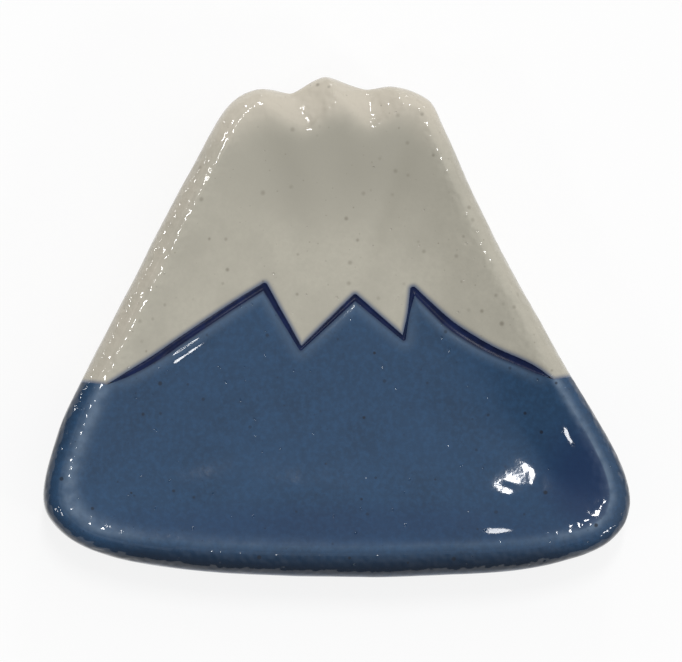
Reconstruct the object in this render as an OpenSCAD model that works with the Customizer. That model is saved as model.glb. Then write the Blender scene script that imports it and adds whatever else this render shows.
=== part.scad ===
// Chopstick rest: a shallow stoneware dish in the outline of a snow-capped mountain.
// Sizes are in millimetres. +X is to the right, +Y points to the crater and +Z is up.
// The origin lies on the table under the middle of the outline.

/* [Overall size] */
// Width across the wide front
rest_w = 55; // [45:0.5:70]
// Depth from the front to the crater's middle lobe
rest_d = 47; // [38:0.5:60]
// Height of the rim above the table
rest_h = 8; // [7.5:0.1:12]

/* [Outer wall] */
// Height of the line where the wall is widest
widest_z = 6.2; // [5.2:0.1:6.8]
// How far the foot stands in from the widest line
foot_inset = 1.8; // [1:0.1:2.6]
// How far the crest of the rim stands in from the widest line
wall_flare = 2.2; // [1.6:0.1:2.8]

/* [Hollow] */
// Fall from the crest of the rim to the edge of the flat floor
hollow_drop = 1.9; // [1.2:0.1:2.4]
// Width of the curved slope between the crest and the floor
slope_w = 10; // [8:0.25:11]
// How much longer the slope is below the crater
crater_reach = 4; // [2:0.5:5]
// Width of the soft ramps in the two front corners
corner_fill_w = 8; // [6:0.5:10]
// Share of the hollow's depth that the front corners lose
corner_fill = 0.16; // [0.05:0.01:0.3]
// Extra fall from the edge of the floor to its middle
floor_dip = 1; // [0.6:0.1:1.4]
// Radius of the soft crest of the rim
crest_r = 1.2; // [0.8:0.1:1.6]
// How much rounder the crest of the crater is
crater_round = 1.2; // [0.6:0.1:1.8]

/* [Crater] */
// How far the two flutes lower the crest of the crater
notch_drop = 0.8; // [0:0.1:1.4]
// How far from the crest the waves of the crater fade out
wave_fade = 1.4; // [0.8:0.1:2.4]

/* [Glaze] */
// Thickness of the glaze coats
glaze_t = 0.35; // [0.25:0.05:0.5]
// Height of the glaze edge above the table
glaze_edge_z = 0.9; // [0.5:0.1:1.5]

/* [Snow line] */
// Width of the incised line
line_w = 0.55; // [0.35:0.05:0.9]
// Depth of the incised line below the glaze
groove_d = 0.3; // [0.15:0.05:0.5]
// How far the pooled glaze in the line lies below the coats
line_sink = 0.12; // [0.05:0.01:0.2]

/* [Hidden] */

// The outline, clockwise from the crater's left corner. Each row holds the widest line as shares
// of the width and depth, the crest's place from there as shares of the flare, and the share of
// the notch drop that the crest loses there.
outline_shares = [
  [-0.208, 0.404, 0.53, -0.92, 0],
  [-0.189, 0.436, 0.35, -1.02, 0],
  [-0.165, 0.459, 0.16, -0.94, 0],
  [-0.133, 0.471, 0.11, -0.80, 0],
  [-0.105, 0.469, 0.27, -1.17, 0.5],
  [-0.079, 0.465, 0.60, -1.46, 1],
  [-0.051, 0.484, 0.53, -1.31, 0.6],
  [-0.021, 0.499, 0.40, -1.07, 0],
  [0.013, 0.487, 0.21, -1.21, 0.5],
  [0.048, 0.475, 0.21, -1.43, 1],
  [0.070, 0.478, 0.41, -1.13, 0.5],
  [0.092, 0.481, 0.46, -0.91, 0],
  [0.131, 0.471, 0.04, -0.86, 0],
  [0.161, 0.451, -0.36, -0.81, 0],
  [0.181, 0.406, -0.60, -0.55, 0],
  [0.237, 0.257, -0.62, -0.50, 0],
  [0.288, 0.137, -0.67, -0.38, 0],
  [0.344, 0.017, -0.74, -0.34, 0],
  [0.402, -0.103, -0.85, -0.20, 0],
  [0.444, -0.183, -0.96, -0.07, 0],
  [0.480, -0.263, -1.02, 0.07, 0],
  [0.499, -0.340, -1.02, 0.28, 0],
  [0.488, -0.396, -0.97, 0.43, 0],
  [0.448, -0.439, -0.80, 0.76, 0],
  [0.380, -0.468, -0.49, 1.05, 0],
  [0.286, -0.487, -0.25, 1.20, 0],
  [0.160, -0.495, -0.10, 1.27, 0],
  [-0.010, -0.498, 0.08, 1.26, 0],
  [-0.164, -0.492, 0.25, 1.20, 0],
  [-0.292, -0.478, 0.42, 1.09, 0],
  [-0.386, -0.457, 0.51, 0.93, 0],
  [-0.452, -0.424, 0.75, 0.60, 0],
  [-0.492, -0.375, 0.90, 0.33, 0],
  [-0.499, -0.324, 0.98, 0.08, 0],
  [-0.473, -0.205, 0.98, -0.15, 0],
  [-0.434, -0.106, 0.93, -0.25, 0],
  [-0.373, 0.033, 0.91, -0.26, 0],
  [-0.321, 0.153, 0.86, -0.32, 0],
  [-0.278, 0.252, 0.81, -0.40, 0],
  [-0.243, 0.326, 0.70, -0.44, 0]
];

// The snow line from left to right: shares of the width and depth, and of the line's width
snow_line_shares = [
  [-0.396, -0.123, 0],
  [-0.360, -0.102, 0.7],
  [-0.313, -0.069, 1],
  [-0.268, -0.032, 1],
  [-0.222, 0.005, 1],
  [-0.175, 0.042, 1],
  [-0.124, 0.080, 1],
  [-0.062, -0.044, 0.7],
  [0.031, 0.060, 0.9],
  [0.114, -0.023, 0.7],
  [0.130, 0.075, 0.9],
  [0.153, 0.048, 1],
  [0.192, 0.005, 1.2],
  [0.229, -0.025, 1.2],
  [0.266, -0.050, 1.1],
  [0.311, -0.075, 1],
  [0.335, -0.090, 0.8],
  [0.363, -0.108, 0]
];
// Where the join between the two coats leaves the left and the right wall
left_join_shares = [-0.45, -0.113];
right_join_shares = [0.42, -0.095];

// Where the rings of the hollow close
centre = [-0.01 * rest_w, -0.09 * rest_d];
// Length of one facet along the straight sides, and the least number of facets for each row
facet_l = rest_w / 30;
least_facets = 2;
// Reach of cutting shapes past what they cut
overrun = rest_w / 10;

rows = len(outline_shares);
// Height of the hollow's floor at its middle, the lowest place in it
hollow_floor_z = rest_h - hollow_drop - floor_dip;

// Angles that place the rings of the lower wall, from the foot to the widest line, and then of
// the upper wall, from below the widest line's end to the crest
glaze_edge_turn = acos(1 - glaze_edge_z / widest_z);
lower_turns = [0, 0.55 * glaze_edge_turn, glaze_edge_turn, 55, 72, 90];
upper_turns = [75, 60, 46, 33, 21, 10, 0];
// How strongly the slope flattens out towards the floor
slope_power = 2.5;
// The most of the way to the centre that the slope takes up
longest_slope = 0.92;
// Distances in from the crest, as shares of the slope's width
slope_shares = [0.06, 0.12, 0.2, 0.3, 0.43, 0.6, 0.8, 1];
// Shares of the way from the slope's end to the centre
floor_shares = [0.13, 0.27, 0.48, 0.75];
// The depth shares between which the slope grows longer towards the crater
crater_start = 0.24;
crater_end = 0.42;
// The fills of the two front corners: where each starts, as shares of the width and depth, and
// which way it rises
corner_fills = [[[0.272, -0.257], [0.79, -0.62]], [[-0.3, -0.257], [-0.79, -0.62]]];

// A point on the closed curve through points p0 to p3, a share f of the way from p1 to p2
function knot(a, b) = sqrt(norm(b - a));
function mix_at(a, b, ta, tb, t) = (a * (tb - t) + b * (t - ta)) / (tb - ta);
function curve_point(p0, p1, p2, p3, f) =
  let (t1 = knot(p0, p1))
  let (t2 = t1 + knot(p1, p2))
  let (t3 = t2 + knot(p2, p3))
  let (t = t1 + f * (t2 - t1))
  let (a = mix_at(p0, p1, 0, t1, t))
  let (b = mix_at(p1, p2, t1, t2, t))
  let (c = mix_at(p2, p3, t2, t3, t))
  mix_at(mix_at(a, b, 0, t2, t), mix_at(b, c, t1, t3, t), t1, t2, t);
function widest_at(i) =
  let (row = outline_shares[(i + rows) % rows])
  [row[0] * rest_w, row[1] * rest_d];
function crest_at(i) =
  let (row = outline_shares[(i + rows) % rows])
  let (place = widest_at(i) + wall_flare * [row[2], row[3]])
  [place[0], place[1], rest_h - notch_drop * row[4]];
function sampled(points) = [
  for (i = [0:rows - 1])
    let (steps = max(least_facets, round(norm(widest_at(i + 1) - widest_at(i)) / facet_l)))
    for (k = [0:steps - 1])
      curve_point(points[(i + rows - 1) % rows], points[i], points[(i + 1) % rows],
        points[(i + 2) % rows], k / steps)
];
widest = sampled([for (i = [0:rows - 1]) widest_at(i)]);
crest = sampled([for (i = [0:rows - 1]) crest_at(i)]);
count = len(widest);

// The crest's outline with the waves of the crater taken out, as a weighted mean of neighbours
smooth_reach = 4;
smooth_weights = [for (k = [-smooth_reach:smooth_reach]) smooth_reach + 1 - abs(k)];
function plan(p) = [p[0], p[1]];
function total(list) = list * [for (n = list) 1];
smooth_crest = [
  for (i = [0:count - 1])
    smooth_weights * [for (k = [-smooth_reach:smooth_reach]) plan(crest[(i + k + count) % count])]
      / total(smooth_weights)
];

// Unit vector square to a closed line of plan points, to its left
function square_to(line, i) =
  let (along = line[(i + 1) % count] - line[(i + count - 1) % count])
  [-along[1], along[0]] / norm(along);
outward = [for (i = [0:count - 1]) square_to(widest, i)];
// Ray from each point of the smooth crest to the centre, and how squarely it leaves the rim
rays = [for (p = smooth_crest) centre - p];
squareness = [for (i = [0:count - 1]) -square_to(smooth_crest, i) * rays[i] / norm(rays[i])];

// The finished surface, ring by ring: the lower wall, the upper wall, the slope and the floor
function lower_ring(turn) = [
  for (i = [0:count - 1])
    let (place = widest[i] - outward[i] * foot_inset * (1 - sin(turn)))
    [place[0], place[1], widest_z * (1 - cos(turn))]
];
function upper_ring(turn) = [
  for (i = [0:count - 1])
    let (place = plan(crest[i]) * (1 - sin(turn)) + widest[i] * sin(turn))
    [place[0], place[1], widest_z + (crest[i][2] - widest_z) * cos(turn)]
];
function softened(d, radius) = sqrt(d * d + radius * radius) - radius;
function eased(part) = let (t = min(max(part, 0), 1)) t * t * (3 - 2 * t);
function craterness(i) =
  eased((smooth_crest[i][1] / rest_d - crater_start) / (crater_end - crater_start));
function slope_w_at(i) =
  min(slope_w + crater_reach * craterness(i), longest_slope * norm(rays[i]) * squareness[i]);
function slope_fall(i, d) =
  let (radius = crest_r + crater_round * craterness(i))
  let (left = 1 - softened(min(d, slope_w_at(i)), radius) / softened(slope_w_at(i), radius))
  hollow_drop * (1 - pow(left, slope_power));
function fill_left(place, fill) =
  let (past = (place - [fill[0][0] * rest_w, fill[0][1] * rest_d]) * fill[1])
  1 - corner_fill * eased(past / corner_fill_w);
function dip_fall(travelled) = floor_dip * (1 - pow(1 - travelled, 2));
function hollow_point(i, travelled) =
  let (d = travelled * norm(rays[i]) * squareness[i])
  let (wave = exp(-d / wave_fade))
  let (place = smooth_crest[i] + (plan(crest[i]) - smooth_crest[i]) * wave + rays[i] * travelled)
  let (notch = (rest_h - crest[i][2]) * wave)
  let (fall = (slope_fall(i, d) + dip_fall(travelled)) * fill_left(place, corner_fills[0])
    * fill_left(place, corner_fills[1]))
  [place[0], place[1], rest_h - notch - fall];
function slope_end(i) = slope_w_at(i) / squareness[i] / norm(rays[i]);
function slope_ring(share) = [for (i = [0:count - 1]) hollow_point(i, share * slope_end(i))];
function floor_ring(share) = [
  for (i = [0:count - 1]) hollow_point(i, slope_end(i) * (1 - share) + share)
];
middle = [centre[0], centre[1], hollow_floor_z];

bare_rings = [for (turn = lower_turns) if (turn < glaze_edge_turn) lower_ring(turn)];
glazed_rings = [
  for (turn = lower_turns) if (turn >= glaze_edge_turn) lower_ring(turn),
  for (turn = upper_turns) upper_ring(turn),
  for (share = slope_shares) slope_ring(share),
  for (share = floor_shares) floor_ring(share)
];

// The glazed surface moved into the clay by a depth, square to itself
function square_depth(j, i, depth) =
  let (rings = glazed_rings)
  let (below = j == 0 ? bare_rings[len(bare_rings) - 1][i] : rings[j - 1][i])
  let (above = j == len(rings) - 1 ? middle : rings[j + 1][i])
  let (along = rings[j][(i + 1) % count] - rings[j][(i + count - 1) % count])
  let (out = cross(above - below, along))
  rings[j][i] - out / norm(out) * depth;
function inset_rings(depth) = [
  for (j = [0:len(glazed_rings) - 1]) [for (i = [0:count - 1]) square_depth(j, i, depth)]
];
function sunk(p, depth) = p - [0, 0, depth];
function reversed(list) = [for (i = [len(list) - 1:-1:0]) list[i]];

// A closed solid over stacked rings, from one end point to the other
module skin(start, rings, end) {
  points = [start, each [for (ring = rings) each ring], end];
  last = len(points) - 1;
  top = last - count;
  faces = [
    for (i = [0:count - 1]) [1 + (i + 1) % count, 1 + i, 0],
    for (j = [0:len(rings) - 2], i = [0:count - 1])
      let (a = 1 + j * count + i)
      let (b = 1 + j * count + (i + 1) % count)
      each [[a, b, a + count], [b, b + count, a + count]],
    for (i = [0:count - 1]) [top + i, top + (i + 1) % count, last]
  ];
  polyhedron(points, faces, convexity = 6);
}

// The glaze over the whole rim and hollow, as one coat
module whole_coat() {
  skin(sunk(middle, glaze_t), [each reversed(inset_rings(glaze_t)), each glazed_rings], middle);
}

// The layer under the hollow's surface that the incised line takes up
module line_layer() {
  from_crest = [for (j = [len(lower_turns) - len(bare_rings) + len(upper_turns) - 1:
    len(glazed_rings) - 1]) glazed_rings[j]];
  low = [for (ring = from_crest) [for (p = ring) sunk(p, glaze_t + groove_d)]];
  high = [for (ring = from_crest) [for (p = ring) sunk(p, line_sink)]];
  skin(sunk(middle, glaze_t + groove_d), [each reversed(low), each high], sunk(middle, line_sink));
}

// Plan shapes that share the glaze out along the snow line
line_points = [for (row = snow_line_shares) [row[0] * rest_w, row[1] * rest_d]];
ends = len(line_points) - 1;
function unit(v) = v / norm(v);
function line_edge(i, side) =
  let (before = unit(line_points[max(i, 1)] - line_points[max(i, 1) - 1]))
  let (after = unit(line_points[min(i, ends - 1) + 1] - line_points[min(i, ends - 1)]))
  let (mitre = unit(before + after))
  let (left = [-mitre[1], mitre[0]])
  let (reach = line_w / 2 * snow_line_shares[i][2] / (mitre * after))
  line_points[i] + left * side * reach;
upper_edge = [for (i = [0:ends]) line_edge(i, 1)];
lower_edge = [for (i = [0:ends]) line_edge(i, -1)];
left_join = [left_join_shares[0] * rest_w, left_join_shares[1] * rest_d];
right_join = [right_join_shares[0] * rest_w, right_join_shares[1] * rest_d];
past_left = [-rest_w, left_join[1]];
past_right = [rest_w, right_join[1]];
snow_region = [
  past_left, left_join, each upper_edge, right_join, past_right, [rest_w, rest_d], [-rest_w, rest_d]
];
blue_region = [
  [-rest_w, -rest_d], [rest_w, -rest_d], past_right, right_join, each reversed(lower_edge),
  left_join, past_left
];
line_region = [each lower_edge, each [for (i = [ends - 1:-1:1]) upper_edge[i]]];
module upright(region) {
  translate([0, 0, -overrun]) linear_extrude(rest_h + 2 * overrun) polygon(region);
}
module line_cut() {
  intersection() {
    line_layer();
    upright(line_region);
  }
}

// The fired clay with its bare foot and the incised line
module clay_body() {
  color([0.62, 0.55, 0.47])
    difference() {
      skin([centre[0], centre[1], 0], [each bare_rings, glazed_rings[0], each inset_rings(glaze_t)],
        sunk(middle, glaze_t));
      line_cut();
    }
}

// The white coat above the snow line
module snow_glaze() {
  color([0.78, 0.76, 0.7])
    intersection() {
      whole_coat();
      upright(snow_region);
    }
}

// The blue coat below the snow line
module blue_glaze() {
  color([0.2, 0.31, 0.47])
    intersection() {
      whole_coat();
      upright(blue_region);
    }
}

// The dark glaze pooled in the incised line
module snow_line() {
  color([0.05, 0.09, 0.25])
    line_cut();
}

clay_body();
snow_glaze();
blue_glaze();
snow_line();
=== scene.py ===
import math
from functools import lru_cache
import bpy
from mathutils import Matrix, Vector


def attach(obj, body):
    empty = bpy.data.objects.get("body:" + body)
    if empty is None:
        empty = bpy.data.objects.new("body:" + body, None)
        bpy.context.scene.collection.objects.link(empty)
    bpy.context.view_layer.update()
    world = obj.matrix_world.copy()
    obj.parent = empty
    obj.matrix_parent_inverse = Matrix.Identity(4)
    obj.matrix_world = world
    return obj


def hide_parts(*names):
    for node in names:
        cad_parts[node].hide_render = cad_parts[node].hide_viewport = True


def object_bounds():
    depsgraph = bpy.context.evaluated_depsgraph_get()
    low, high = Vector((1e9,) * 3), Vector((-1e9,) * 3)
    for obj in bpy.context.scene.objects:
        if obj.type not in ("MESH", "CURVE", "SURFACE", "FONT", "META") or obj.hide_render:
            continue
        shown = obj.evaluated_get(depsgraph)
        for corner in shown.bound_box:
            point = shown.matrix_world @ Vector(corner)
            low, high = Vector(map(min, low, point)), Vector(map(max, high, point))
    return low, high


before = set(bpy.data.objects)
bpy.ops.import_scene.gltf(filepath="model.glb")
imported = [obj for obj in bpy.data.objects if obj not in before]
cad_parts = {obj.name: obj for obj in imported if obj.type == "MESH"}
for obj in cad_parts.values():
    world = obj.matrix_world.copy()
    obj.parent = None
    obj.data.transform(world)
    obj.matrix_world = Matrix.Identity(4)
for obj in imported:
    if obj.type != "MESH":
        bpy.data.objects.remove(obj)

from types import SimpleNamespace

import bpy
import numpy as np
from bpy.props import FloatProperty, FloatVectorProperty, PointerProperty
from mathutils import Matrix, Vector
from mathutils.geometry import delaunay_2d_cdt

bl_info = {
    "name": "Mountain chopstick rest",
    "version": (1, 0, 0),
    "blender": (4, 5, 0),
    "location": "View3D > Sidebar > Chopstick rest",
    "description": "Dresses a chopstick rest in the outline of a snow-capped mountain",
    "category": "Object",
}

MM = 0.001
CAD_LOW, CAD_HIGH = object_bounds()

# The outline, clockwise from the crater's left corner. Each row holds the widest line as shares
# of the width and depth, the crest's place from there as shares of the flare, and the share of
# the notch drop that the crest loses there.
OUTLINE_SHARES = (
    (-0.208, 0.404, 0.53, -0.92, 0),
    (-0.189, 0.436, 0.35, -1.02, 0),
    (-0.165, 0.459, 0.16, -0.94, 0),
    (-0.133, 0.471, 0.11, -0.80, 0),
    (-0.105, 0.469, 0.27, -1.17, 0.5),
    (-0.079, 0.465, 0.60, -1.46, 1),
    (-0.051, 0.484, 0.53, -1.31, 0.6),
    (-0.021, 0.499, 0.40, -1.07, 0),
    (0.013, 0.487, 0.21, -1.21, 0.5),
    (0.048, 0.475, 0.21, -1.43, 1),
    (0.070, 0.478, 0.41, -1.13, 0.5),
    (0.092, 0.481, 0.46, -0.91, 0),
    (0.131, 0.471, 0.04, -0.86, 0),
    (0.161, 0.451, -0.36, -0.81, 0),
    (0.181, 0.406, -0.60, -0.55, 0),
    (0.237, 0.257, -0.62, -0.50, 0),
    (0.288, 0.137, -0.67, -0.38, 0),
    (0.344, 0.017, -0.74, -0.34, 0),
    (0.402, -0.103, -0.85, -0.20, 0),
    (0.444, -0.183, -0.96, -0.07, 0),
    (0.480, -0.263, -1.02, 0.07, 0),
    (0.499, -0.340, -1.02, 0.28, 0),
    (0.488, -0.396, -0.97, 0.43, 0),
    (0.448, -0.439, -0.80, 0.76, 0),
    (0.380, -0.468, -0.49, 1.05, 0),
    (0.286, -0.487, -0.25, 1.20, 0),
    (0.160, -0.495, -0.10, 1.27, 0),
    (-0.010, -0.498, 0.08, 1.26, 0),
    (-0.164, -0.492, 0.25, 1.20, 0),
    (-0.292, -0.478, 0.42, 1.09, 0),
    (-0.386, -0.457, 0.51, 0.93, 0),
    (-0.452, -0.424, 0.75, 0.60, 0),
    (-0.492, -0.375, 0.90, 0.33, 0),
    (-0.499, -0.324, 0.98, 0.08, 0),
    (-0.473, -0.205, 0.98, -0.15, 0),
    (-0.434, -0.106, 0.93, -0.25, 0),
    (-0.373, 0.033, 0.91, -0.26, 0),
    (-0.321, 0.153, 0.86, -0.32, 0),
    (-0.278, 0.252, 0.81, -0.40, 0),
    (-0.243, 0.326, 0.70, -0.44, 0),
)

# The snow line from left to right: shares of the width and depth, and of the line's width
SNOW_LINE_SHARES = (
    (-0.396, -0.123, 0),
    (-0.360, -0.102, 0.7),
    (-0.313, -0.069, 1),
    (-0.268, -0.032, 1),
    (-0.222, 0.005, 1),
    (-0.175, 0.042, 1),
    (-0.124, 0.080, 1),
    (-0.062, -0.044, 0.55),
    (0.031, 0.060, 0.9),
    (0.114, -0.023, 0.6),
    (0.122, 0.026, 0.35),
    (0.130, 0.075, 0.9),
    (0.153, 0.048, 1),
    (0.192, 0.005, 1.2),
    (0.229, -0.025, 1.2),
    (0.266, -0.050, 1.1),
    (0.311, -0.075, 1),
    (0.335, -0.090, 0.8),
    (0.363, -0.108, 0),
)
# Rows of the snow line that are sharp peaks or valleys
SNOW_LINE_CORNERS = (6, 7, 8, 9, 11)
# Where the join between the two coats leaves the left and the right wall
LEFT_JOIN_SHARES = (-0.45, -0.113)
RIGHT_JOIN_SHARES = (0.42, -0.095)
# Where the rings of the hollow close
CENTRE_SHARES = (-0.01, -0.09)
# One facet of the plan as a share of the width, and the least facets for each row of the outline
FACET_SHARE = 1 / 30
LEAST_FACETS = 2
# Facets on each side that the crest is averaged over to take out the crater's waves
SMOOTH_REACH = 4
# Fine samples along each facet, and how many to each side even out the crater's slope
FINE_STEPS = 7
CRATER_EVENING = 30
# How strongly the slope of the hollow flattens out towards the floor
SLOPE_POWER = 2.5
# The depth shares between which the hollow's slope grows longer towards the crater
CRATER_SLOPE = (0.24, 0.42)
# The fills of the two front corners: where each starts, as shares of the width and depth, and
# which way it rises
CORNER_FILLS = (((0.272, -0.257), (0.79, -0.62)), ((-0.3, -0.257), (-0.79, -0.62)))
# The middle of the right front corner's slope and the way it rises: there the valley between
# the walls is opened out
VALLEY_MIDDLE = (0.311, -0.294)
VALLEY_WAY = (0.79, -0.62)
# Distances of the opened valley: across and along it, and in from the crest
VALLEY_ACROSS = 4 * MM
VALLEY_ALONG = 3.5 * MM
VALLEY_START = 5 * MM

# Distances between the mesh points: up the walls, down from the crest, on the open floor, and
# in two bands along the snow line; and how far the band at the crest and those two reach
WALL_STEP = 0.21 * MM
CREST_STEP = 0.13 * MM
CREST_BAND = 2.3 * MM
FLOOR_STEP = 0.36 * MM
NEAR_STEP = 0.18 * MM
LINE_STEP = 0.1 * MM
NEAR_BAND = 2.6 * MM
LINE_BAND = 1.3 * MM
# Small tilts of the surface that catch the light: the middle as shares of the width and depth,
# half the length and half the width of each, its way along, and how it tilts
MARKS = (
    ((0.268, -0.408), 1.7 * MM, 0.75 * MM, (1, 0.02), (0, -0.15)),
    ((0.389, -0.222), 1.3 * MM, 0.55 * MM, (-0.5, 0.87), (0.14, 0.066)),
    ((-0.2671, -0.0651), 1.2 * MM, 0.7 * MM, (0.825, 0.565), (-0.215, 0.3135)),
    ((-0.2345, -0.0391), 1.2 * MM, 0.7 * MM, (0.825, 0.565), (-0.255, 0.372)),
    ((-0.2569, -0.0405), 2.1 * MM, 0.26 * MM, (0.825, 0.565), (-0.44, 0.65)),
    ((0.287, -0.332), 0.85 * MM, 0.8 * MM, (0.45, 0.89), (0, 0.1)),
    ((0.339, -0.3085), 0.8 * MM, 0.7 * MM, (0.45, 0.89), (0.09, 0)),
)
# Where painted shade darkens the glazes: the middle and half the size of each soft patch, as
# shares of the width and depth, and how strong it is
SNOW_SHADE_PATCHES = ((0, 0.33, 0.24, 0.13, 1),)
BLUE_SHADE_PATCHES = ((0.42, -0.3, 0.07, 0.11, 1), (0, -0.4, 0.4, 0.045, 0.4))
# How far the coats' mean face lies inside the drawn one, so that their bumps stay within it
SETTLE = 0.06 * MM
# The waves of the uneven surface: the seed of each, and its shortest and its longest wave
SLOW_WAVES = (11, 5 * MM, 9 * MM)
QUICK_WAVES = (12, 1.8 * MM, 3 * MM)
BEAD_WAVES = (13, 0.55 * MM, 1 * MM)
# The height of the quick waves as a share of the slow ones'
QUICK_SHARE = 0.15
# How many plane waves each is made of
WAVE_COUNT = 18
# How far from the crest the small bumps fade out, where they begin again on the wall, with what
# share of their height, and where on the wall they weaken, over what way and to what share
BEADS_REACH = 0.7 * MM
WALL_BEADS_START = -1.2 * MM
WALL_BEADS_SHARE = 0.7
LOW_WALL_START = -2.2 * MM
LOW_WALL_FADE = 1.2 * MM
LOW_WALL_LEAST = 0.15
# Between which shares of the depth and the width the straight front begins
FRONT_DEPTH = (0.325, 0.45)
FRONT_WIDTH = (5 / 12, 1 / 3)
# Between which places across it the right side of the rest turns into its left one
SIDE_TURN = (8 * MM, -8 * MM)
# How far the crest's lighter band, thinner glaze with painted light, reaches inside and outside
# the crest, on the right and how much further on the left, and the share of it that is missing
# along the front
CREST_INNER = (0.35 * MM, 0.4 * MM)
CREST_OUTER = (0.55 * MM, 0.1 * MM)
FRONT_LOSS = 0.8
# How much nearer to the crest the wall's painted shade starts along the front
FRONT_SHADE = 0.8 * MM
# Where the glaze's skin is bumpy: its reach from the crest, and where it starts on the wall
BUMPY_REACH = 0.9 * MM
BUMPY_START = -0.8 * MM
# The depth shares between which painted light makes the crater's crest pale
CRATER_PALE = (0.34, 0.44)
# How sharply the patches of painted shade end
SHADE_PATCH_POWER = 1.5
# The hollow of the pooled line's surface, and the rolled glaze edge's depth as a share of its
# radius
LINE_CUP = 0.1 * MM
BEAD_SHARE = 0.8
# The rings of the foot's flat face as shares of its outline, and the gap between clay and coats
FOOT_RING_SHARES = (0.25, 0.5, 0.7, 0.85, 0.94, 0.98)
CLAY_GAP = 0.01 * MM
# The wall's upper arc as a share of its height and its flare together, and the arc below the
# glaze as a multiple of its height
UPPER_ARC = 0.8
FOOT_ARC = 2
# Rounds in which a point of the floor finds its place along the rim
PLACE_ROUNDS = 5
# Facets between two rows of the snow line
LINE_FACETS = 8
# Cuts closer to a mesh point than this go through the point
SNAP = 0.02 * MM

# Cloudy patterns of colour: feature size, detail, roughness and seed
SNOW_CLOUD = (4.5 * MM, 3, 0.55, 1)
SNOW_GRAIN = (0.45 * MM, 2, 0.6, 7)
SNOW_PATCHES = (2.2 * MM, 2, 0.5, 9)
CRATER_WAVES = (1.6 * MM, 2, 0.5, 11)
BLUE_CLOUD = (5 * MM, 3, 0.6, 2)
BLUE_GRAIN = (0.5 * MM, 2, 0.65, 8)
CREST_PATCHES = (1.3 * MM, 2, 0.6, 4)
LINE_CLOUD = (1.2 * MM, 2, 0.5, 1)
CLAY_CLOUD = (7 * MM, 4, 0.6, 0)
CLAY_SAND = (0.3 * MM, 2, 0.7, 2)
# Cloudy patterns of bumps: the same, and how high each stands
ORANGE_PEEL = (1.2 * MM, 1, 0.5, 3, 0.016 * MM)
CREST_BUMPS = (0.6 * MM, 0, 0.5, 4, 0.12 * MM)
FINE_PEEL = (0.3 * MM, 1, 0.5, 5, 0.005 * MM)
LINE_RIPPLE = (0.5 * MM, 1, 0.5, 0, 0.003 * MM)
CLAY_GRIT = (0.45 * MM, 3, 0.65, 5, 0.03 * MM)
CLAY_WAVES = (2.5 * MM, 3, 0.6, 6, 0.05 * MM)
PIT_DEPTH = 0.06 * MM
# Scattered spots: the gap between them, the largest radius, the share of places that have one,
# the softness of their edge and the seed; for coloured ones also how strong they are
SNOW_SPECKS = (1.4 * MM, 0.34 * MM, 0.8, 0.85, 2, 0.5)
SNOW_DUST = (0.8 * MM, 0.12 * MM, 0.6, 0.8, 12, 0.4)
SNOW_PITS = (1.5 * MM, 0.2 * MM, 0.5, 0.7, 6)
BLUE_SPECKS = (1.5 * MM, 0.26 * MM, 0.6, 0.5, 4, 0.85)
BLUE_DUST = (0.7 * MM, 0.13 * MM, 0.6, 0.8, 14, 0.4)
BLUE_PITS = (1.5 * MM, 0.2 * MM, 0.6, 0.7, 7)
CLAY_SPECKS = (1.7 * MM, 0.22 * MM, 0.6, 0.5, 3, 0.8)
# The least size and strength of a spot as shares of those above, and what chance adds to each
SPOT_SIZES = (0.5, 0.6)
SPOT_STRENGTHS = (0.5, 0.5)
# How a seed shifts the pattern of spots
SPOT_SHIFT = (1, 0.7, 0.4)
# Where the finishes take the line to end, in millimetres from its middle
HALF_LINE = 0.3
# Roughness of the glossy coats, and the index of refraction of glaze and clay
GLOSS = 0.09
GLAZE_IOR = 1.5

# How far the floor reaches to each side, and how far the camera sees
FLOOR_REACH = 1.5
CAMERA_REACH = 20
# The middle of the room's light side, and how close to it the light starts and is full
SKY_WAY = (0.6, 0.3, 0.74)
SKY_SPREAD = (0.1, 0.95)
# Lamps and soft boxes: the way from the rest to each, the way that its long side runs, its
# distance, width and length, and the light that a surface facing it gets, where 1 lights a
# colour as it is written
LIGHTS = (
    ("key_lamp", (-0.065, 0.325, 0.944), (0.15, 0.4, -0.14), 0.7, 0.055, 0.19, 0.31),
    ("front_lamp", (0.119, 0.906, 0.404), (0, 0, 1), 0.7, 0.09, 0.09, 0.09),
    ("wall_lamp", (-0.735, -0.365, 0.57), (0, 0, 1), 0.7, 0.07, 0.07, 0.07),
    ("shoulder_lamp", (0.727, -0.528, 0.43), (0, 0, 1), 0.7, 0.1, 0.1, 0.14),
    ("left_lamp", (-0.82, 0.54, 0.2), (0, 0, 1), 0.8, 0.05, 0.05, 0.04),
)
# The point that the camera looks at: its height, and shifts to the right and up in the picture
AIM_Z = 3 * MM
AIM_RIGHT = 0.64 * MM
AIM_UP = -0.18 * MM

# Columns of the surface table
PLACE = slice(0, 3)
NORMAL = slice(3, 6)
LINE_SIDE, LINE_SHARE, RIM_SIDE, EDGE_UP = 6, 7, 8, 9


def outline_reach(column):
    shares = [row[column] for row in OUTLINE_SHARES]
    return max(shares) - min(shares)


def size_prop(name, description, default):
    """A size, for a property group."""
    return FloatProperty(name=name, description=description, unit="LENGTH", default=default)


def colour_prop(name, description, default):
    """A colour, for a property group."""
    return FloatVectorProperty(
        name=name, description=description, subtype="COLOR", size=3, min=0, max=1,
        default=default)


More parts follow.
